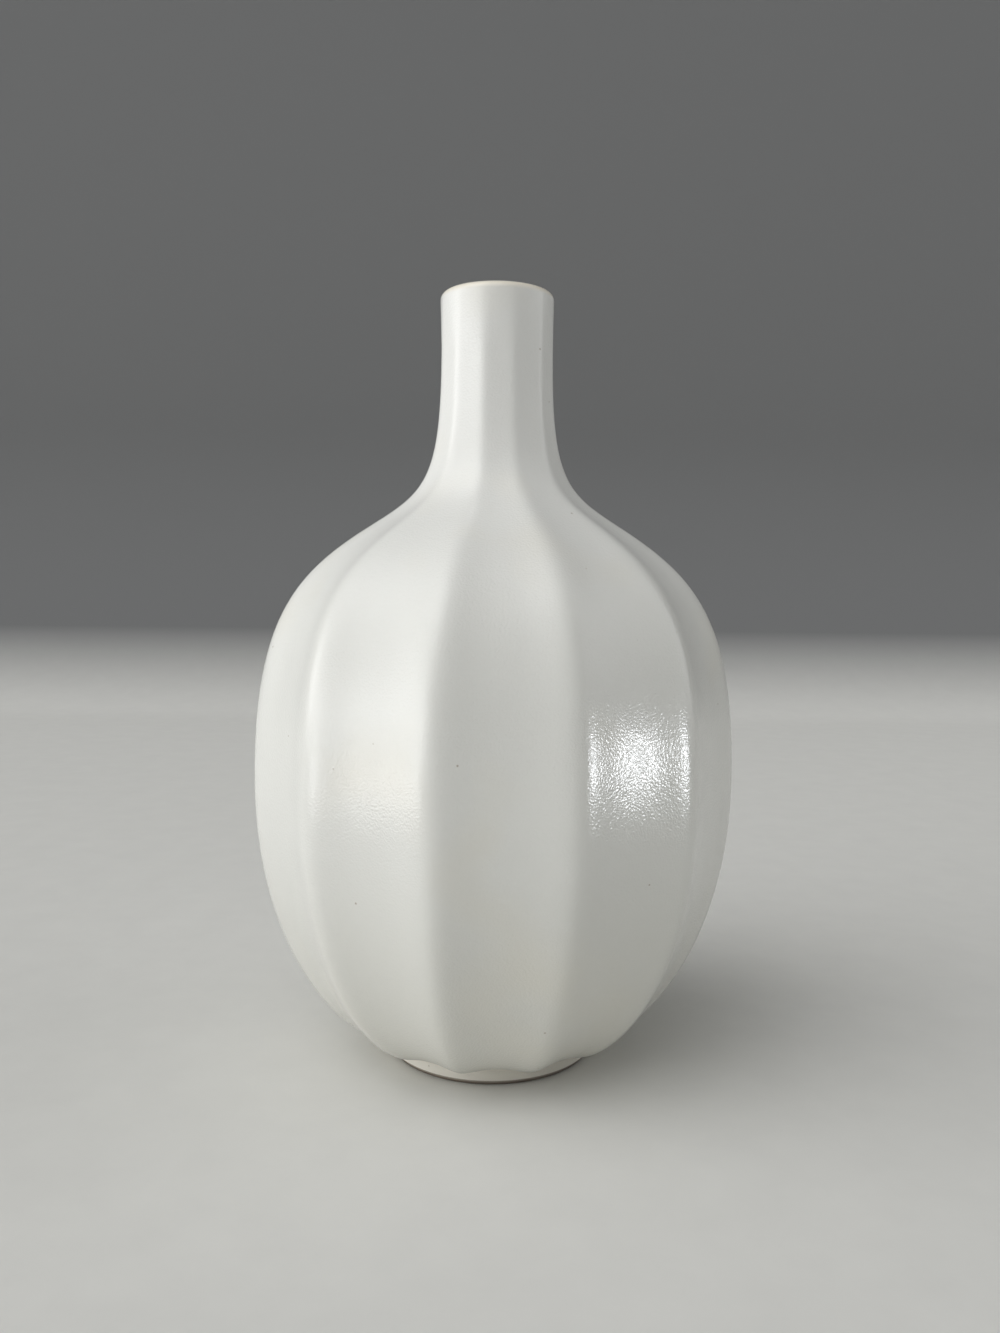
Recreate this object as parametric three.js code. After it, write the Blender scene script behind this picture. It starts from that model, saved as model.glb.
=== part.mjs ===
// A gourd bud vase: a slip-cast body with concave flutes and soft ridges, a plain foot ring under it,
// a satin glaze coat outside and a thin liner glaze inside.
// Millimetres, +Z up. The origin is the middle of the face that the foot rests on.
import * as THREE from "three";

// Heights, stacked from the table up to the lip
const FOOT_HEIGHT = 3.2; // plain band under the flutes
const LOWER_BELLY_RISE = 49.1; // foot to the widest girth
const UPPER_BELLY_RISE = 45.4; // widest girth to the turn of the shoulder
const NECK_SWEEP_RISE = 32.3; // turn of the shoulder to the straight neck
const STRAIGHT_NECK_RISE = 10; // straight neck, with the lip on top

// Radii over the ridges, and the slope where the crown of the belly turns into the neck
const FOOT_RADIUS = 19.4;
const BELLY_RADIUS = 44;
const SHOULDER_RADIUS = 23.3;
const NECK_RADIUS = 10.3;
const SHOULDER_SLOPE = 32.5; // degrees above level

// Lengths over which the profile keeps its direction at the ends of each curve
const UNDERSIDE_PULL = 8;
const GIRTH_PULL_BELOW = 31;
const GIRTH_PULL_ABOVE = 29.1;
const SHOULDER_PULL_BELOW = 15.9;
const SHOULDER_PULL_ABOVE = 11.9;
const NECK_PULL = 24;

// Flutes
const FLUTE_COUNT = 12;
const FLUTE_DEPTH = 1.88; // ridge to valley at the widest girth
const NECK_FLUTE_DEPTH = 0.22; // at the foot of the straight neck
const FOOT_FADE = 0.4; // how suddenly the flutes rise out of the foot, below 1 for sooner
const NECK_FADE = 1.3; // how suddenly they fade into the neck, above 1 for sooner
const RIDGE_SOFTNESS = 0.3; // rounding of a ridge, as a share of half a flute
const VALLEY_FLATNESS = 2.3; // how flat the valleys are, 1 for straight sides
const CAVITY_FLUTE_SHARE = 0.5; // the cast wall softens the flutes inside to this share

// Walls, measured over both coats, and the coats themselves
const BELLY_WALL = 4.6;
const NECK_WALL = 2.8; // also the thickness of the round lip
const GLAZE_THICKNESS = 0.45;
const LINER_THICKNESS = 0.4;
const LIP_WRAP = 1.6; // run of the outer glaze down inside the mouth, below the round of the lip
const GLAZE_LINE = 1; // height over the table where the outer glaze stops
const GLAZE_POOL = 0.8; // radius of the glaze that pools in the corner over the foot

// Foot ring
const FOOT_RING_WIDTH = 4.4;
const FOOT_EDGE = 0.5; // rounding of the bare edges that meet the table

// Steps of the surfaces
const FLUTE_STATIONS = [0, 0.12, 0.32, 0.68, 0.88]; // places across one flute, ridge to ridge
const OUTSIDE_STEPS = 6; // rows on each curve of the outside
const CAVITY_STEPS = 3; // rows on each curve of the cavity
const LIP_STEPS = 4;
const POOL_STEPS = 2;
const EDGE_STEPS = 2;

const GIRTH_HEIGHT = FOOT_HEIGHT + LOWER_BELLY_RISE;
const SHOULDER_HEIGHT = GIRTH_HEIGHT + UPPER_BELLY_RISE;
const NECK_HEIGHT = SHOULDER_HEIGHT + NECK_SWEEP_RISE;
const VASE_HEIGHT = NECK_HEIGHT + STRAIGHT_NECK_RISE;
const LIP_RADIUS = NECK_WALL / 2;
const LIP_HEIGHT = VASE_HEIGHT - LIP_RADIUS; // middle of the round of the lip
const WRAP_HEIGHT = LIP_HEIGHT - LIP_WRAP; // where the outer glaze meets the liner
const SPRING_RADIUS = FOOT_RADIUS + GLAZE_POOL; // where the belly leaves the foot
const JOINT_HEIGHT = FOOT_HEIGHT + GLAZE_THICKNESS; // where the casting sits on the foot ring
const FOOT_RING_RADIUS = FOOT_RADIUS - GLAZE_THICKNESS;

// A point of a profile: radius over the ridges, height, flute depth and outward direction.
function station(radius, height, depth = 0, out = new THREE.Vector2(1, 0)) {
  return { radius, height, depth, out };
}

// How far a radius lies from a narrow end (0) out to the belly (1)
function bellyShare(narrow, radius) {
  return THREE.MathUtils.clamp((radius - narrow) / (BELLY_RADIUS - narrow), 0, 1);
}

function lowerDepth(radius) {
  return FLUTE_DEPTH * bellyShare(SPRING_RADIUS, radius) ** FOOT_FADE;
}

function upperDepth(radius) {
  const swell = Math.sin((Math.PI / 2) * bellyShare(NECK_RADIUS, radius)) ** NECK_FADE;
  return THREE.MathUtils.lerp(NECK_FLUTE_DEPTH, FLUTE_DEPTH, swell);
}

// The three curves of the outside, foot to neck, each with its own rule for the flute depth
function outsideCurves() {
  const spring = new THREE.Vector2(SPRING_RADIUS, FOOT_HEIGHT);
  const girth = new THREE.Vector2(BELLY_RADIUS, GIRTH_HEIGHT);
  const shoulder = new THREE.Vector2(SHOULDER_RADIUS, SHOULDER_HEIGHT);
  const neck = new THREE.Vector2(NECK_RADIUS, NECK_HEIGHT);
  const outward = new THREE.Vector2(1, 0);
  const upward = new THREE.Vector2(0, 1);
  const slope = THREE.MathUtils.degToRad(SHOULDER_SLOPE);
  const inward = new THREE.Vector2(-Math.cos(slope), Math.sin(slope));
  const from = (point, direction, length) => point.clone().addScaledVector(direction, length);
  const curve = (...points) => new THREE.CubicBezierCurve(...points);
  return [
    {
      curve: curve(
        spring,
        from(spring, outward, UNDERSIDE_PULL),
        from(girth, upward, -GIRTH_PULL_BELOW),
        girth,
      ),
      depthAt: lowerDepth,
    },
    {
      curve: curve(
        girth,
        from(girth, upward, GIRTH_PULL_ABOVE),
        from(shoulder, inward, -SHOULDER_PULL_BELOW),
        shoulder,
      ),
      depthAt: upperDepth,
    },
    {
      curve: curve(
        shoulder,
        from(shoulder, inward, SHOULDER_PULL_ABOVE),
        from(neck, upward, -NECK_PULL),
        neck,
      ),
      depthAt: upperDepth,
    },
  ];
}

// Rows along the outside, from the foot up to the end of the neck's sweep
function outsideRows(stepsPerCurve) {
  const rows = [];
  outsideCurves().forEach(({ curve, depthAt }, index) => {
    for (let step = index === 0 ? 0 : 1; step <= stepsPerCurve; step++) {
      const share = step / stepsPerCurve;
      const point = curve.getPoint(share);
      const along = curve.getTangent(share);
      const out = new THREE.Vector2(along.y, -along.x);
      rows.push(station(point.x, point.y, depthAt(point.x), out));
    }
  });
  return rows;
}

// Rows over the round of the lip, from the outside of the neck into the bore. It has no flutes: they
// fade out over the straight neck below it.
function lipRows() {
  const rows = [];
  for (let step = 0; step <= LIP_STEPS; step++) {
    const turn = (Math.PI * step) / LIP_STEPS;
    const out = new THREE.Vector2(Math.cos(turn), Math.sin(turn));
    const radius = NECK_RADIUS - LIP_RADIUS + LIP_RADIUS * out.x;
    rows.push(station(radius, LIP_HEIGHT + LIP_RADIUS * out.y, 0, out));
  }
  return rows;
}

// Where the outer glaze and the liner meet edge to edge in the bore, or the clay behind that edge
function meetingRow(cover) {
  return station(NECK_RADIUS - NECK_WALL + cover, WRAP_HEIGHT);
}

// A row moved into the wall, against its outward direction
function inset(row, distance) {
  const radius = row.radius - row.out.x * distance;
  const height = row.height - row.out.y * distance;
  return station(radius, height, row.depth, row.out);
}

// The clay under the outer glaze, from the joint with the foot ring over the lip to the liner's edge
function clayRows() {
  const coated = [...outsideRows(OUTSIDE_STEPS), ...lipRows()];
  const clay = coated.map((row) => inset(row, GLAZE_THICKNESS));
  return [...clay, meetingRow(LINER_THICKNESS)];
}

// The wall over both coats: thinnest in the neck, full in the shoulder and the belly
function wallAt(height) {
  const share = THREE.MathUtils.smoothstep(height, SHOULDER_HEIGHT, NECK_HEIGHT);
  return THREE.MathUtils.lerp(BELLY_WALL, NECK_WALL, share);
}

// The finished cavity from its floor up to the liner's edge, or the clay behind its liner
function cavityRows(cover) {
  const walls = outsideRows(CAVITY_STEPS).map((row) => {
    const moved = inset(row, wallAt(row.height) - cover);
    return station(moved.radius, moved.height, row.depth * CAVITY_FLUTE_SHARE);
  });
  const floor = station(0, FOOT_HEIGHT + BELLY_WALL - cover);
  return [floor, ...walls, meetingRow(cover)];
}

// How far the surface falls from ridge (0) to valley (1), across a flute from ridge (0) to ridge (1)
function fall(place) {
  const away = 1 - Math.abs(2 * place - 1);
  const soften = (value) => Math.hypot(value, RIDGE_SOFTNESS) - RIDGE_SOFTNESS;
  return 1 - (1 - soften(away) / soften(1)) ** VALLEY_FLATNESS;
}

// One ring of points around the axis; a row on the axis is a single point
function ringPoints({ radius, height, depth }) {
  if (radius === 0) return [new THREE.Vector3(0, 0, height)];
  const points = [];
  for (let flute = 0; flute < FLUTE_COUNT; flute++) {
    for (const place of FLUTE_STATIONS) {
      const turn = (2 * Math.PI * (flute + place)) / FLUTE_COUNT;
      const reach = radius - depth * fall(place);
      points.push(new THREE.Vector3(reach * Math.cos(turn), reach * Math.sin(turn), height));
    }
  }
  return points;
}

// Two triangles over a patch between rings, split along its shorter diagonal so that the two faces
// of a joint match whichever way their rows run
function patch(points, lowHere, lowNext, highNext, highHere) {
  const apart = (a, b) => points[a].distanceToSquared(points[b]);
  return apart(lowNext, highHere) < apart(lowHere, highNext)
    ? [lowHere, lowNext, highHere, lowNext, highNext, highHere]
    : [lowHere, lowNext, highNext, lowHere, highNext, highHere];
}

// The solid between rings. Its rows run anticlockwise around the section, radius to the right and
// height up, and start and end on the axis or close on themselves.
function loft(rows) {
  const points = [];
  const triangles = [];
  const rings = rows.map((row) => ringPoints(row).map((point) => points.push(point) - 1));
  if (rows[0].radius > 0) rings.push(rings[0]);
  for (let band = 1; band < rings.length; band++) {
    const low = rings[band - 1];
    const high = rings[band];
    const columns = Math.max(low.length, high.length);
    for (let column = 0; column < columns; column++) {
      const next = (column + 1) % columns;
      if (low.length === 1) triangles.push(low[0], high[next], high[column]);
      else if (high.length === 1) triangles.push(low[column], low[next], high[0]);
      else triangles.push(...patch(points, low[column], low[next], high[next], high[column]));
    }
  }
  const geometry = new THREE.BufferGeometry().setFromPoints(points);
  geometry.setIndex(triangles);
  geometry.computeVertexNormals();
  return geometry;
}

// The casting: flat underside, clay outside, over the lip, and down the cavity to its floor
function bodyRows() {
  const cavity = cavityRows(LINER_THICKNESS).reverse();
  return [station(0, JOINT_HEIGHT), ...clayRows(), ...cavity.slice(1)];
}

// The foot ring: bare at the table, rounded at both edges, flat on top
function footRows() {
  const inner = FOOT_RING_RADIUS - FOOT_RING_WIDTH;
  const rows = [];
  const edge = (radius, start) => {
    for (let step = 0; step <= EDGE_STEPS; step++) {
      const turn = start + (Math.PI / 2) * (step / EDGE_STEPS);
      const away = FOOT_EDGE * Math.cos(turn);
      rows.push(station(radius + away, FOOT_EDGE + FOOT_EDGE * Math.sin(turn)));
    }
  };
  edge(inner + FOOT_EDGE, Math.PI);
  edge(FOOT_RING_RADIUS - FOOT_EDGE, 1.5 * Math.PI);
  rows.push(station(FOOT_RING_RADIUS, JOINT_HEIGHT));
  rows.push(station(inner, JOINT_HEIGHT));
  return rows;
}

// The outer coat: foot band, pooled corner, outside and lip, then back along the clay
function glazeRows() {
  const pool = [];
  for (let step = 0; step < POOL_STEPS; step++) {
    const turn = Math.PI - (Math.PI / 2) * (step / POOL_STEPS);
    const height = FOOT_HEIGHT - GLAZE_POOL + GLAZE_POOL * Math.sin(turn);
    pool.push(station(SPRING_RADIUS + GLAZE_POOL * Math.cos(turn), height));
  }
  return [
    station(FOOT_RADIUS, GLAZE_LINE),
    ...pool,
    ...outsideRows(OUTSIDE_STEPS),
    ...lipRows(),
    meetingRow(0),
    ...clayRows().reverse(),
    station(FOOT_RING_RADIUS, JOINT_HEIGHT),
    station(FOOT_RING_RADIUS, GLAZE_LINE),
  ];
}

// The liner: up the clay from the floor to the bore, and back down its own finished face
function linerRows() {
  return [...cavityRows(LINER_THICKNESS), ...cavityRows(0).reverse()];
}

function piece(name, rows, finish) {
  const mesh = new THREE.Mesh(loft(rows), new THREE.MeshStandardMaterial(finish));
  mesh.name = name;
  return mesh;
}

const BARE_CLAY = { color: 0xe4ddd0, roughness: 0.9, metalness: 0 };
const SATIN_GLAZE = { color: 0xe8e9e4, roughness: 0.42, metalness: 0 };
const LINER_GLAZE = { color: 0xe6e6e0, roughness: 0.3, metalness: 0 };

const clay = new THREE.Group();
clay.add(piece("vase_body", bodyRows(), BARE_CLAY));
clay.add(piece("foot_ring", footRows(), BARE_CLAY));

const coats = new THREE.Group();
coats.add(piece("outer_glaze", glazeRows(), SATIN_GLAZE));
coats.add(piece("liner_glaze", linerRows(), LINER_GLAZE));

const vase = new THREE.Group();
vase.add(clay, coats);

export default vase;
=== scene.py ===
"""A gourd bud vase in satin white glaze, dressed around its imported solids. Metres, +Z up."""

import math

import bpy
import numpy as np
from mathutils import Matrix, Vector


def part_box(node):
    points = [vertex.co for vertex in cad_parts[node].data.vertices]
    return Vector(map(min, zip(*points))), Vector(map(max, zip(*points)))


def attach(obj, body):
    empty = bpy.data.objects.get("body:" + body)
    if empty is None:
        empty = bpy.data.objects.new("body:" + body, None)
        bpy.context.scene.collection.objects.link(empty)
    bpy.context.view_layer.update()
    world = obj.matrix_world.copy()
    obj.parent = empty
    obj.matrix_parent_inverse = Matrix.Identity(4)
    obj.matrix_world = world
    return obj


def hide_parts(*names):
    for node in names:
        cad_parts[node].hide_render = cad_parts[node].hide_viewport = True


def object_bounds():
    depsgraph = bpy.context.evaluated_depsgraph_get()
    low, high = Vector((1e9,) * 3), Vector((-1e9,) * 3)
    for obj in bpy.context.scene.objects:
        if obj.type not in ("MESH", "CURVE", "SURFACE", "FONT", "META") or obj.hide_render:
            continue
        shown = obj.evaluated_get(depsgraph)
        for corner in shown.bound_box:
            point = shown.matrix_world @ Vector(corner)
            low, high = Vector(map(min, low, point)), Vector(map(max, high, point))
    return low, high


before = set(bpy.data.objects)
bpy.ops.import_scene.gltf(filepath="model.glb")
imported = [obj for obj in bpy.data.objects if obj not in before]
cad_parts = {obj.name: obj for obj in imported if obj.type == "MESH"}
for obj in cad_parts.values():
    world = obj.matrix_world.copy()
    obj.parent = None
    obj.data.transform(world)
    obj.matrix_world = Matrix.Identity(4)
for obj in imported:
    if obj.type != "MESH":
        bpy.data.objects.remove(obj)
cad_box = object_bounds()

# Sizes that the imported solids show
glaze_low, glaze_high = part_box("outer_glaze")
clay_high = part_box("vase_body")[1]
ring_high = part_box("foot_ring")[1]
VASE_HEIGHT = cad_box[1].z
BELLY_RADIUS = glaze_high.x
GLAZE_LINE = glaze_low.z
GLAZE_THICKNESS = BELLY_RADIUS - clay_high.x
RING_RADIUS = ring_high.x
JOINT_HEIGHT = ring_high.z
FOOT_HEIGHT = JOINT_HEIGHT - GLAZE_THICKNESS
FOOT_RADIUS = RING_RADIUS + GLAZE_THICKNESS

# The rest of the profile, as in the solids, but with sharper ridges and flutes that start at the foot
GIRTH_HEIGHT = 0.0523
SHOULDER_HEIGHT = 0.0977
NECK_HEIGHT = 0.130
SHOULDER_RADIUS = 0.0233
NECK_RADIUS = 0.0103
SHOULDER_SLOPE = math.radians(32.5)
UNDERSIDE_PULL = 0.008
GIRTH_PULL_BELOW = 0.031
GIRTH_PULL_ABOVE = 0.0291
SHOULDER_PULL_BELOW = 0.0159
SHOULDER_PULL_ABOVE = 0.0119
NECK_PULL = 0.024
FLUTE_COUNT = 12
FLUTE_DEPTH = 0.00188
FOOT_FLUTE_DEPTH = 0.0008
NECK_FLUTE_DEPTH = 0.00022
FOOT_FADE = 1.2
NECK_FADE = 1.3
RIDGE_SOFTNESS = 0.24
VALLEY_FLATNESS = 2.3
CAVITY_FLUTE_SHARE = 0.5
BELLY_WALL = 0.0046
NECK_WALL = 0.0028
LINER_THICKNESS = 0.0004
LIP_WRAP = 0.0016
GLAZE_POOL = 0.0008
RING_WIDTH = 0.0044
RING_EDGE = 0.0005

LIP_RADIUS = NECK_WALL / 2
LIP_HEIGHT = VASE_HEIGHT - LIP_RADIUS
WRAP_HEIGHT = LIP_HEIGHT - LIP_WRAP
SPRING_RADIUS = FOOT_RADIUS + GLAZE_POOL

# Steps of the fine surfaces
COLUMNS_PER_FLUTE = 20
RIDGE_CROWDING = 0.45
OUTSIDE_STEPS = 48
CAVITY_STEPS = 16
LIP_STEPS = 16
POOL_STEPS = 6
EDGE_STEPS = 6

# The camera, from the photograph's perspective
PHOTO_HEIGHT = 1333
FOCAL_PIXELS = 1078
SENSOR = 0.036
CAMERA_TURN = math.radians(12.4)
CAMERA_DISTANCE = 0.201
CAMERA_HEIGHT = 0.08904
CAMERA_YAW = 0.00559
CAMERA_PITCH = 0.08427
CAMERA_ROLL = 0.00972

# Floor and backdrop in one sweep, which turns grey between two heights
FLOOR_REACH = 1.6
BACK_REACH = 0.45
SWEEP_RADIUS = 0.2
BACK_HEIGHT = 1.6
SWEEP_STEPS = 24
GREY_START = 0.002
GREY_END = 0.05

# Heights and widths of the tints on glaze and clay: painted light up the neck, a creamier tone low down
# that is partly painted shade, and a painted contact shadow on the foot ring
NECK_PAINTED_LIGHT_START = 0.085
NECK_PAINTED_LIGHT_END = 0.12
LOW_TINT_AND_SHADE_START = 0.004
LOW_TINT_AND_SHADE_END = 0.045
BAND_BLEND = 0.001
LIP_TINT_DEPTH = 0.0014
LIP_TINT_FULL = 0.0006
CONTACT_SHADE_WIDTH = 0.001
CONTACT_SHADE_FULL = 0.0004
CONTACT_SHADE_TOP = 0.0011


def bezier(points, steps):
    """Points and directions along a cubic curve, start and end included."""
    share = np.linspace(0, 1, steps + 1)[:, None]
    a, b, c, d = np.array(points)
    left = 1 - share
    place = left**3 * a + 3 * left**2 * share * b + 3 * left * share**2 * c + share**3 * d
    along = left**2 * (b - a) + 2 * left * share * (c - b) + share**2 * (d - c)
    return place, along / np.linalg.norm(along, axis=1)[:, None]


def lower_depth(radius):
    """Flute depth below the girth."""
    share = (radius - SPRING_RADIUS) / (BELLY_RADIUS - SPRING_RADIUS)
    swell = np.clip(share, 0, 1) ** FOOT_FADE
    return FOOT_FLUTE_DEPTH + (FLUTE_DEPTH - FOOT_FLUTE_DEPTH) * swell


def upper_depth(radius):
    """Flute depth above the girth."""
    share = (radius - NECK_RADIUS) / (BELLY_RADIUS - NECK_RADIUS)
    swell = np.sin(np.clip(share, 0, 1) * math.pi / 2) ** NECK_FADE
    return NECK_FLUTE_DEPTH + (FLUTE_DEPTH - NECK_FLUTE_DEPTH) * swell


def rows_of(place, out, depth):
    """Rows of a profile: radius over the ridges, height, outward direction and flute depth."""
    depth = np.broadcast_to(depth, len(place))
    return np.column_stack([place, out, depth])


def outside_rows(steps):
    """The outside from the foot up to the end of the neck's sweep."""
    inward = np.array([-math.cos(SHOULDER_SLOPE), math.sin(SHOULDER_SLOPE)])
    up = np.array([0, 1])
    spring = np.array([SPRING_RADIUS, FOOT_HEIGHT])
    girth = np.array([BELLY_RADIUS, GIRTH_HEIGHT])
    shoulder = np.array([SHOULDER_RADIUS, SHOULDER_HEIGHT])
    neck = np.array([NECK_RADIUS, NECK_HEIGHT])
    underside = spring + [UNDERSIDE_PULL, 0]
    curves = [
        (spring, underside, girth - up * GIRTH_PULL_BELOW, girth),
        (girth, girth + up * GIRTH_PULL_ABOVE, shoulder - inward * SHOULDER_PULL_BELOW, shoulder),
        (shoulder, shoulder + inward * SHOULDER_PULL_ABOVE, neck - up * NECK_PULL, neck),
    ]
    rows = []
    for index, points in enumerate(curves):
        place, along = bezier(points, steps)
        out = np.column_stack([along[:, 1], -along[:, 0]])
        depth = lower_depth(place[:, 0]) if index == 0 else upper_depth(place[:, 0])
        made = rows_of(place, out, depth)
        rows.append(made if index == 0 else made[1:])
    return np.vstack(rows)


def lip_rows(steps):
    """Over the round of the lip, from the outside of the neck into the bore."""
    turn = np.linspace(0, math.pi, steps + 1)
    out = np.column_stack([np.cos(turn), np.sin(turn)])
    place = out * LIP_RADIUS + [NECK_RADIUS - LIP_RADIUS, LIP_HEIGHT]
    return rows_of(place, out, 0)


def meeting_row(cover):
    """Where the outer glaze and the liner meet in the bore, or the clay behind that edge."""
    place = np.array([[NECK_RADIUS - NECK_WALL + cover, WRAP_HEIGHT]])
    return rows_of(place, np.array([[-1.0, 0.0]]), 0)


def inset(rows, distance):
    """Rows moved into the wall, against their outward direction."""
    moved = rows.copy()
    moved[:, :2] -= rows[:, 2:4] * np.reshape(distance, (-1, 1))
    return moved


def clay_rows(steps):
    """The clay under the outer glaze, from the foot over the lip to the liner's edge."""
    coated = np.vstack([outside_rows(steps), lip_rows(LIP_STEPS)])
    return np.vstack([inset(coated, GLAZE_THICKNESS), meeting_row(LINER_THICKNESS)])


def wall_at(height):
    """Wall thickness, thinner up the neck."""
    share = np.clip((height - SHOULDER_HEIGHT) / (NECK_HEIGHT - SHOULDER_HEIGHT), 0, 1)
    share = share * share * (3 - 2 * share)
    return BELLY_WALL + (NECK_WALL - BELLY_WALL) * share


def cavity_rows(cover):
    """The cavity from its floor up to the liner's edge, or the clay behind its liner."""
    outside = outside_rows(CAVITY_STEPS)
    walls = inset(outside, wall_at(outside[:, 1]) - cover)
    walls[:, 4] *= CAVITY_FLUTE_SHARE
    floor = rows_of(np.array([[0, FOOT_HEIGHT + BELLY_WALL - cover]]), np.array([[0.0, 1.0]]), 0)
    return np.vstack([floor, walls, meeting_row(cover)])


def glaze_rows():
    """The outer coat: foot band, pooled corner, outside and lip, then back along the clay."""
    turn = math.pi - np.linspace(0, math.pi / 2, POOL_STEPS, endpoint=False)
    pool = np.column_stack([np.cos(turn), np.sin(turn)]) * GLAZE_POOL
    pool += [SPRING_RADIUS, FOOT_HEIGHT - GLAZE_POOL]
    outward = np.array([[1.0, 0.0]])
    downward = np.repeat([[0.0, -1.0]], POOL_STEPS, axis=0)
    edge = rows_of(np.array([[FOOT_RADIUS, GLAZE_LINE]]), outward, 0)
    back = np.array([[RING_RADIUS, JOINT_HEIGHT], [RING_RADIUS, GLAZE_LINE]])
    return np.vstack([
        edge,
        rows_of(pool, downward, FOOT_FLUTE_DEPTH * np.arange(POOL_STEPS) / POOL_STEPS),
        outside_rows(OUTSIDE_STEPS),
        lip_rows(LIP_STEPS),
        meeting_row(0),
        clay_rows(CAVITY_STEPS)[::-1],
        rows_of(back, np.repeat(outward, 2, axis=0), 0),
    ])


def liner_rows():
    """The liner: up the clay from the floor to the bore, and back down its own face."""
    return np.vstack([cavity_rows(LINER_THICKNESS), cavity_rows(0)[::-1]])


def body_rows():
    """The casting: underside, clay outside, over the lip, and down the cavity to its floor."""
    flat = np.array([[0, JOINT_HEIGHT], [RING_RADIUS, JOINT_HEIGHT]])
    underside = rows_of(flat, np.array([[0.0, -1.0], [0.0, -1.0]]), 0)
    return np.vstack([underside, clay_rows(CAVITY_STEPS), cavity_rows(LINER_THICKNESS)[::-1][1:]])


def ring_rows():
    """The foot ring: rounded at both edges that meet the table, flat on top."""
    inner = RING_RADIUS - RING_WIDTH
    quarter = np.linspace(0, math.pi / 2, EDGE_STEPS + 1)
    parts = []
    for middle, start in ((inner + RING_EDGE, math.pi), (RING_RADIUS - RING_EDGE, 1.5 * math.pi)):
        turn = start + quarter
        out = np.column_stack([np.cos(turn), np.sin(turn)])
        parts.append(rows_of(out * RING_EDGE + [middle, RING_EDGE], out, 0))
    top = np.array([[RING_RADIUS, JOINT_HEIGHT], [inner, JOINT_HEIGHT]])
    parts.append(rows_of(top, np.array([[1.0, 0.0], [-1.0, 0.0]]), 0))
    return np.vstack(parts)


def fall(place, radius):
    """How far the surface falls from ridge to valley, across a flute from ridge (0) to ridge (1).
    The ridges are rounder where the flutes are narrow."""
    softness = RIDGE_SOFTNESS * math.sqrt(BELLY_RADIUS / radius)
    away = 1 - np.abs(2 * place - 1)
    soft = np.hypot(away, softness) - softness
    full = np.hypot(1, softness) - softness
    return 1 - np.clip(1 - soft / full, 0, 1) ** VALLEY_FLATNESS


def loft(name, rows, material):
    """A closed piece between rings. Rows run anticlockwise around the section, and start and end on
    the axis or close on themselves."""
    even = np.arange(COLUMNS_PER_FLUTE) / COLUMNS_PER_FLUTE
    place = even - RIDGE_CROWDING * np.sin(2 * math.pi * even) / (2 * math.pi)
    turn = (np.arange(FLUTE_COUNT)[:, None] + place[None, :]).ravel() * 2 * math.pi / FLUTE_COUNT
    columns = len(turn)
    points = []
    rings = []
    for radius, height, out, rise, depth in rows:
        first = len(points)
        if radius == 0:
            points.append((0, 0, height))
            rings.append([first])
            continue
        sunk = depth * np.tile(fall(place, radius), FLUTE_COUNT)
        reach = radius - (sunk if rise >= 0 else sunk * out)
        level = height - sunk * min(rise, 0)
        ring = np.column_stack([reach * np.cos(turn), reach * np.sin(turn), level])
        points.extend(map(tuple, ring))
        rings.append(list(range(first, first + columns)))
    if rows[0][0] > 0:
        rings.append(rings[0])
    faces = []
    for low, high in zip(rings, rings[1:]):
        for column in range(columns):
            after = (column + 1) % columns
            if len(low) == 1:
                faces.append((low[0], high[after], high[column]))
            elif len(high) == 1:
                faces.append((low[column], low[after], high[0]))
            else:
                faces.append((low[column], low[after], high[after], high[column]))
    mesh = bpy.data.meshes.new(name)
    mesh.from_pydata(points, [], faces)
    mesh.polygons.foreach_set("use_smooth", np.ones(len(mesh.polygons), bool))
    mesh.set_sharp_from_angle(angle=math.radians(50))
    mesh.materials.append(material)
    piece = bpy.data.objects.new(name, mesh)
    bpy.context.scene.collection.objects.link(piece)
    return piece


def new_material(name):
    """A material with its node tree, its shader and its object coordinates."""
    material = bpy.data.materials.new(name)
    material.use_nodes = True
    tree = material.node_tree
    shader = tree.nodes["Principled BSDF"]
    place = tree.nodes.new("ShaderNodeTexCoord").outputs["Object"]
    return material, tree, shader, place


def height_of(tree, place):
    node = tree.nodes.new("ShaderNodeSeparateXYZ")
    tree.links.new(place, node.inputs["Vector"])
    return node.outputs["Z"]


def reach_of(tree, place):
    """The distance from the axis of the vase."""
    flat = tree.nodes.new("ShaderNodeVectorMath")
    flat.operation = "MULTIPLY"
    flat.inputs[1].default_value = (1, 1, 0)
    tree.links.new(place, flat.inputs[0])
    length = tree.nodes.new("ShaderNodeVectorMath")
    length.operation = "LENGTH"
    tree.links.new(flat.outputs["Vector"], length.inputs[0])
    return length.outputs["Value"]


def noise(tree, place, scale, detail=2.0, roughness=0.5):
    node = tree.nodes.new("ShaderNodeTexNoise")
    node.inputs["Scale"].default_value = scale
    node.inputs["Detail"].default_value = detail
    node.inputs["Roughness"].default_value = roughness
    tree.links.new(place, node.inputs["Vector"])
    return node.outputs["Fac"]


def spread(tree, value, low, high, to_low=0.0, to_high=1.0):
    """A value mapped from one range to another, kept within it."""
    node = tree.nodes.new("ShaderNodeMapRange")
    node.inputs["From Min"].default_value = low
    node.inputs["From Max"].default_value = high
    node.inputs["To Min"].default_value = to_low
    node.inputs["To Max"].default_value = to_high
    tree.links.new(value, node.inputs["Value"])
    return node.outputs["Result"]


def blend_colours(tree, share, first, second):
    """Two colours mixed by a share; either may be a socket."""
    node = tree.nodes.new("ShaderNodeMix")
    node.data_type = "RGBA"
    tree.links.new(share, node.inputs["Factor"])
    for name, colour in (("A", first), ("B", second)):
        socket = next(s for s in node.inputs if s.name == name and s.type == "RGBA")
        if isinstance(colour, tuple):
            socket.default_value = (*colour, 1)
        else:
            tree.links.new(colour, socket)
    return next(s for s in node.outputs if s.type == "RGBA")


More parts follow.
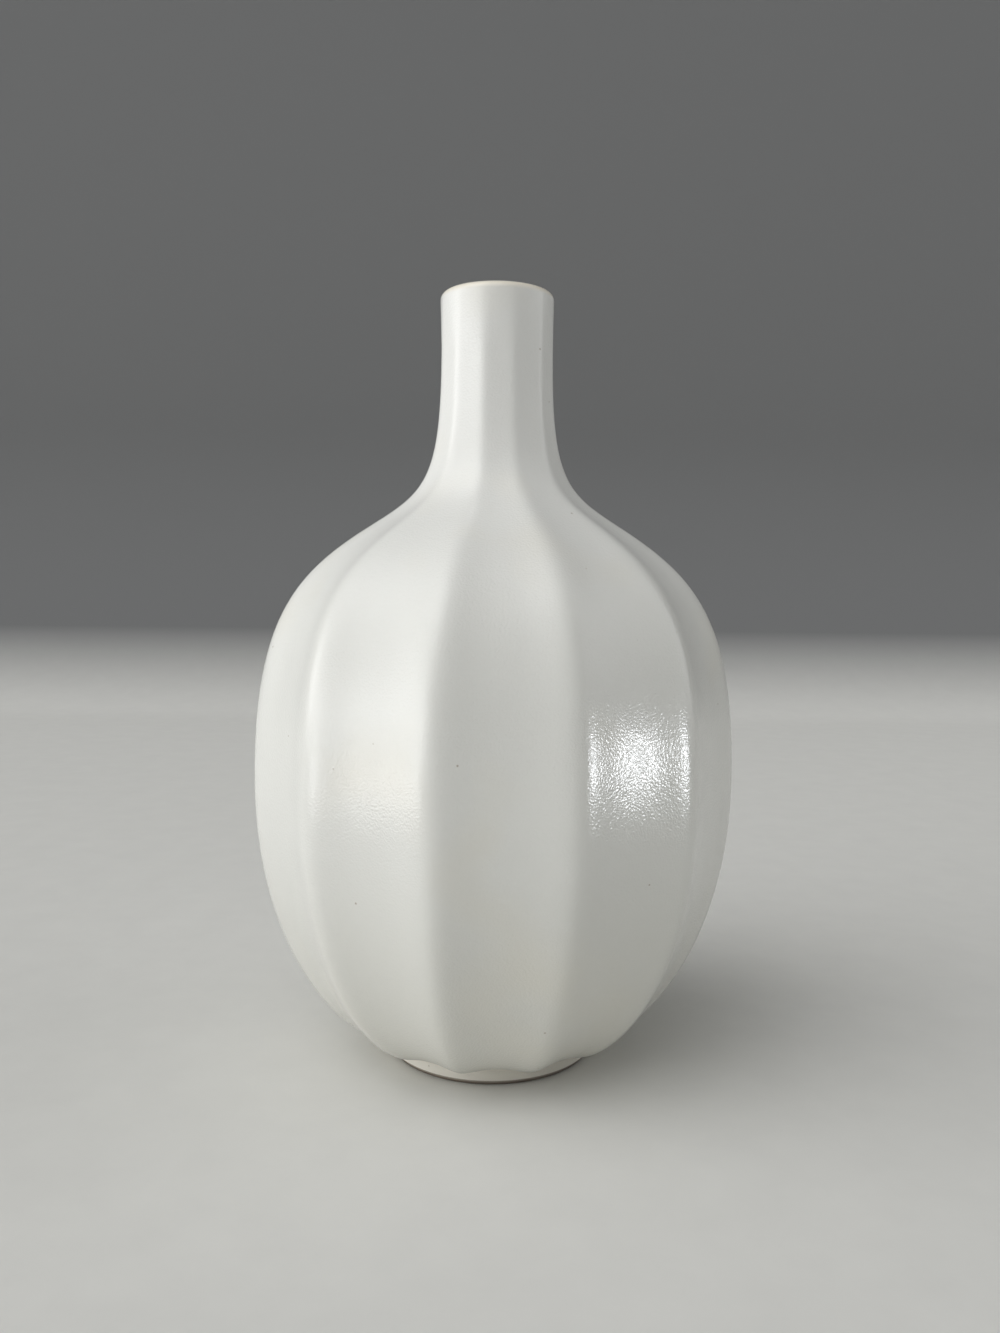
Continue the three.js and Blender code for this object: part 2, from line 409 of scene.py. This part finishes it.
def calculate(tree, operation, *values):
    """A sum on up to three values, each a number or a socket."""
    node = tree.nodes.new("ShaderNodeMath")
    node.operation = operation
    for socket, value in zip(node.inputs, values):
        if isinstance(value, (int, float)):
            socket.default_value = value
        else:
            tree.links.new(value, socket)
    return node.outputs["Value"]


def bump(tree, height, strength, distance, normal=None):
    node = tree.nodes.new("ShaderNodeBump")
    node.inputs["Strength"].default_value = strength
    node.inputs["Distance"].default_value = distance
    tree.links.new(height, node.inputs["Height"])
    if normal is not None:
        tree.links.new(normal, node.inputs["Normal"])
    return node.outputs["Normal"]


def specks(tree, place, scale, size):
    """Scattered round specks, 1 in the middle of a speck and 0 outside it."""
    node = tree.nodes.new("ShaderNodeTexVoronoi")
    node.inputs["Scale"].default_value = scale
    tree.links.new(place, node.inputs["Vector"])
    return spread(tree, node.outputs["Distance"], size / 2, size, 1, 0)


def satin_glaze():
    """White over the clay, with painted light whitening it up the neck, a creamier tone low down that is
    partly painted shade, and a fine granular surface.
    """
    material, tree, shader, place = new_material("satin_glaze")
    height = height_of(tree, place)
    mottle = spread(tree, noise(tree, place, 22, 3, 0.55), 0.3, 0.7)
    colour = blend_colours(tree, mottle, (0.795, 0.797, 0.76), (0.82, 0.824, 0.787))
    # Painted light: the glaze is made whiter up the neck so that the neck renders brighter
    neck = spread(tree, height, NECK_PAINTED_LIGHT_START, NECK_PAINTED_LIGHT_END)
    colour = blend_colours(tree, neck, colour, (0.845, 0.847, 0.82))
    # Darker and creamier towards the foot: partly a creamier glaze tone, partly painted shade on the
    # lower body
    low = spread(tree, height, LOW_TINT_AND_SHADE_START, LOW_TINT_AND_SHADE_END, 0.9, 0)
    colour = blend_colours(tree, low, colour, (0.70, 0.692, 0.635))
    band = spread(tree, height, FOOT_HEIGHT, FOOT_HEIGHT + BAND_BLEND)
    colour = blend_colours(tree, band, (0.81, 0.783, 0.71), colour)
    lip = spread(tree, height, VASE_HEIGHT - LIP_TINT_DEPTH, VASE_HEIGHT - LIP_TINT_FULL)
    colour = blend_colours(tree, lip, colour, (0.87, 0.82, 0.71))
    tint = spread(tree, noise(tree, place, 34, 2, 0.5), 0.56, 0.74, 0, 0.45)
    colour = blend_colours(tree, tint, colour, (0.80, 0.77, 0.67))
    colour = blend_colours(tree, specks(tree, place, 150, 0.035), colour, (0.5, 0.46, 0.39))
    tree.links.new(colour, shader.inputs["Base Color"])
    gloss = spread(tree, noise(tree, place, 240, 3, 0.6), 0.3, 0.7, 0.18, 0.215)
    tree.links.new(gloss, shader.inputs["Roughness"])
    grain = bump(tree, noise(tree, place, 2800, 1, 0.5), 0.7, 0.000068)
    ripple = bump(tree, noise(tree, place, 160, 2, 0.5), 0.15, 0.0002, grain)
    tree.links.new(ripple, shader.inputs["Normal"])
    return material


def liner_glaze():
    material, tree, shader, place = new_material("liner_glaze")
    mottle = spread(tree, noise(tree, place, 40, 3, 0.55), 0.3, 0.7)
    colour = blend_colours(tree, mottle, (0.77, 0.77, 0.73), (0.83, 0.83, 0.80))
    tree.links.new(colour, shader.inputs["Base Color"])
    gloss = spread(tree, noise(tree, place, 200, 2), 0.3, 0.7, 0.2, 0.3)
    tree.links.new(gloss, shader.inputs["Roughness"])
    tree.links.new(bump(tree, noise(tree, place, 180, 2), 0.15, 0.0002), shader.inputs["Normal"])
    return material


def bare_clay():
    """Sandy clay, with a painted contact shadow: a dark line round the outer edge that stands on the
    floor.
    """
    material, tree, shader, place = new_material("bare_clay")
    grain = noise(tree, place, 1400, 4, 0.65)
    colour = blend_colours(tree, spread(tree, grain, 0.3, 0.7), (0.60, 0.55, 0.47), (0.74, 0.70, 0.62))
    # Painted shade: a dark line round the outer edge where the ring meets the floor, standing in for the
    # contact shadow
    rim = spread(tree, reach_of(tree, place), RING_RADIUS - CONTACT_SHADE_WIDTH, RING_RADIUS - CONTACT_SHADE_FULL)
    contact_shaded = blend_colours(tree, rim, colour, (0.16, 0.13, 0.10))
    above = spread(tree, height_of(tree, place), CONTACT_SHADE_FULL, CONTACT_SHADE_TOP)
    colour = blend_colours(tree, above, contact_shaded, colour)
    tree.links.new(colour, shader.inputs["Base Color"])
    tree.links.new(spread(tree, grain, 0.3, 0.7, 0.8, 0.95), shader.inputs["Roughness"])
    tree.links.new(bump(tree, grain, 0.5, 0.0001), shader.inputs["Normal"])
    return material


def sweep_finish():
    """Matte, pale on the floor and grey up the backdrop."""
    material, tree, shader, place = new_material("sweep_finish")
    mottle = spread(tree, noise(tree, place, 90, 4, 0.6), 0.25, 0.75)
    pale = blend_colours(tree, mottle, (0.70, 0.70, 0.672), (0.73, 0.73, 0.70))
    up = spread(tree, height_of(tree, place), GREY_START, GREY_END)
    colour = blend_colours(tree, up, pale, (0.20, 0.203, 0.205))
    tree.links.new(colour, shader.inputs["Base Color"])
    shader.inputs["Specular IOR Level"].default_value = 0
    return material


# Pieces of the vase
clay = bare_clay()
for name, node, rows, finish, slot in (
    ("glaze_coat", "outer_glaze", glaze_rows(), satin_glaze(), "satin_glaze"),
    ("bore_liner", "liner_glaze", liner_rows(), liner_glaze(), "liner_glaze"),
    ("cast_body", "vase_body", body_rows(), clay, "bare_clay"),
    ("turned_foot", "foot_ring", ring_rows(), clay, "bare_clay"),
):
    made = loft(name, rows, finish)
    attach(made, "root")
    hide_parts(node)


def toward(turn, reach, height):
    """A point at a turn from the camera's side of the vase, positive to the camera's right."""
    angle = CAMERA_TURN + turn
    return Vector((math.sin(angle) * reach, -math.cos(angle) * reach, height))


def studio_sweep():
    """The floor, curved up into a backdrop behind the vase as the camera sees it."""
    outline = [(-FLOOR_REACH, 0.0), (BACK_REACH, 0.0)]
    for step in range(1, SWEEP_STEPS + 1):
        turn = math.pi / 2 * step / SWEEP_STEPS
        out = BACK_REACH + SWEEP_RADIUS * math.sin(turn)
        outline.append((out, SWEEP_RADIUS * (1 - math.cos(turn))))
    outline.append((BACK_REACH + SWEEP_RADIUS, BACK_HEIGHT))
    points = []
    for back, height in outline:
        for side in (-FLOOR_REACH, FLOOR_REACH):
            points.append(toward(0, -back, height) + toward(math.pi / 2, side, 0))
    faces = [(2 * i, 2 * i + 1, 2 * i + 3, 2 * i + 2) for i in range(len(outline) - 1)]
    mesh = bpy.data.meshes.new("studio_sweep")
    mesh.from_pydata(points, [], faces)
    mesh.polygons.foreach_set("use_smooth", np.ones(len(mesh.polygons), bool))
    mesh.materials.append(sweep_finish())
    sweep = bpy.data.objects.new("studio_sweep", mesh)
    bpy.context.scene.collection.objects.link(sweep)


studio_sweep()


# Light
def area_light(name, turn, elevation, reach, width, height, radiance, colour=(1, 1, 1)):
    """A rectangular lamp that faces the girth of the vase and shows only as a highlight, because it puts
    no light on matte surfaces. Its brightness is given as radiance."""
    data = bpy.data.lights.new(name, "AREA")
    data.shape = "RECTANGLE"
    data.size = width
    data.size_y = height
    data.energy = radiance * width * height * math.pi
    data.color = colour
    lamp = bpy.data.objects.new(name, data)
    aim = Vector((0, 0, GIRTH_HEIGHT))
    lamp.location = aim + toward(turn, reach * math.cos(elevation), reach * math.sin(elevation))
    lamp.rotation_mode = "QUATERNION"
    lamp.rotation_quaternion = (aim - lamp.location).to_track_quat("-Z", "Y")
    lamp.visible_camera = False
    lamp.visible_diffuse = False
    bpy.context.scene.collection.objects.link(lamp)


def room_light(even, backdrop, glows):
    """An even white room with soft glows, each from a turn and an elevation, with its focus and
    strength. The camera sees a plain backdrop; reflections show it with the glows."""
    world = bpy.data.worlds.new("soft_room")
    world.use_nodes = True
    tree = world.node_tree
    way = tree.nodes.new("ShaderNodeTexCoord").outputs["Generated"]
    rays = tree.nodes.new("ShaderNodeLightPath").outputs
    glossy = calculate(tree, "ADD", rays["Is Glossy Ray"], rays["Is Transmission Ray"])
    seen = calculate(tree, "ADD", rays["Is Camera Ray"], glossy)
    plain = spread(tree, seen, 0, 1, even, backdrop)
    glow = 0.0
    for turn, elevation, focus, strength in glows:
        facing = tree.nodes.new("ShaderNodeVectorMath")
        facing.operation = "DOT_PRODUCT"
        facing.inputs[1].default_value = toward(turn, math.cos(elevation), math.sin(elevation))
        tree.links.new(way, facing.inputs[0])
        front = calculate(tree, "MAXIMUM", facing.outputs["Value"], 0)
        narrow = calculate(tree, "POWER", front, focus)
        glow = calculate(tree, "MULTIPLY_ADD", narrow, strength, glow)
    lit = calculate(tree, "SUBTRACT", 1, rays["Is Camera Ray"])
    level = calculate(tree, "MULTIPLY_ADD", glow, lit, plain)
    tree.links.new(level, tree.nodes["Background"].inputs["Strength"])
    tree.nodes["Background"].inputs["Color"].default_value = (1, 1, 1, 1)
    bpy.context.scene.world = world


room_light(0.08, 0.13, [
    (math.radians(-60), math.radians(-3), 20, 5.3),
    (math.radians(-90), math.radians(8), 20, 3.4),
    (math.radians(-52), math.radians(56), 8, 2.67),
    (math.radians(100), math.radians(20), 8, 1.36),
])
area_light(
    "left_strip", math.radians(-62), math.radians(-7), reach=0.35,
    width=0.12, height=0.016, radiance=16,
)
area_light(
    "right_strip", math.radians(69.5), math.radians(-3.7), reach=0.5,
    width=0.0265, height=0.051, radiance=140, colour=(0.93, 0.96, 1),
)
bpy.context.scene.view_settings.view_transform = "Standard"

# Camera
lens = bpy.data.cameras.new("photo_camera")
lens.sensor_fit = "AUTO"
lens.sensor_width = SENSOR * 1000
lens.lens = FOCAL_PIXELS / PHOTO_HEIGHT * lens.sensor_width
lens.clip_start = 0.01
camera = bpy.data.objects.new("photo_camera", lens)
heading = Matrix.Rotation(CAMERA_TURN - CAMERA_YAW, 4, "Z")
tilt = Matrix.Rotation(math.pi / 2 - CAMERA_PITCH, 4, "X")
roll = Matrix.Rotation(CAMERA_ROLL, 4, "Z")
stand = Matrix.Translation(toward(0, CAMERA_DISTANCE, CAMERA_HEIGHT))
camera.matrix_world = stand @ heading @ tilt @ roll
bpy.context.scene.collection.objects.link(camera)
bpy.context.scene.camera = camera
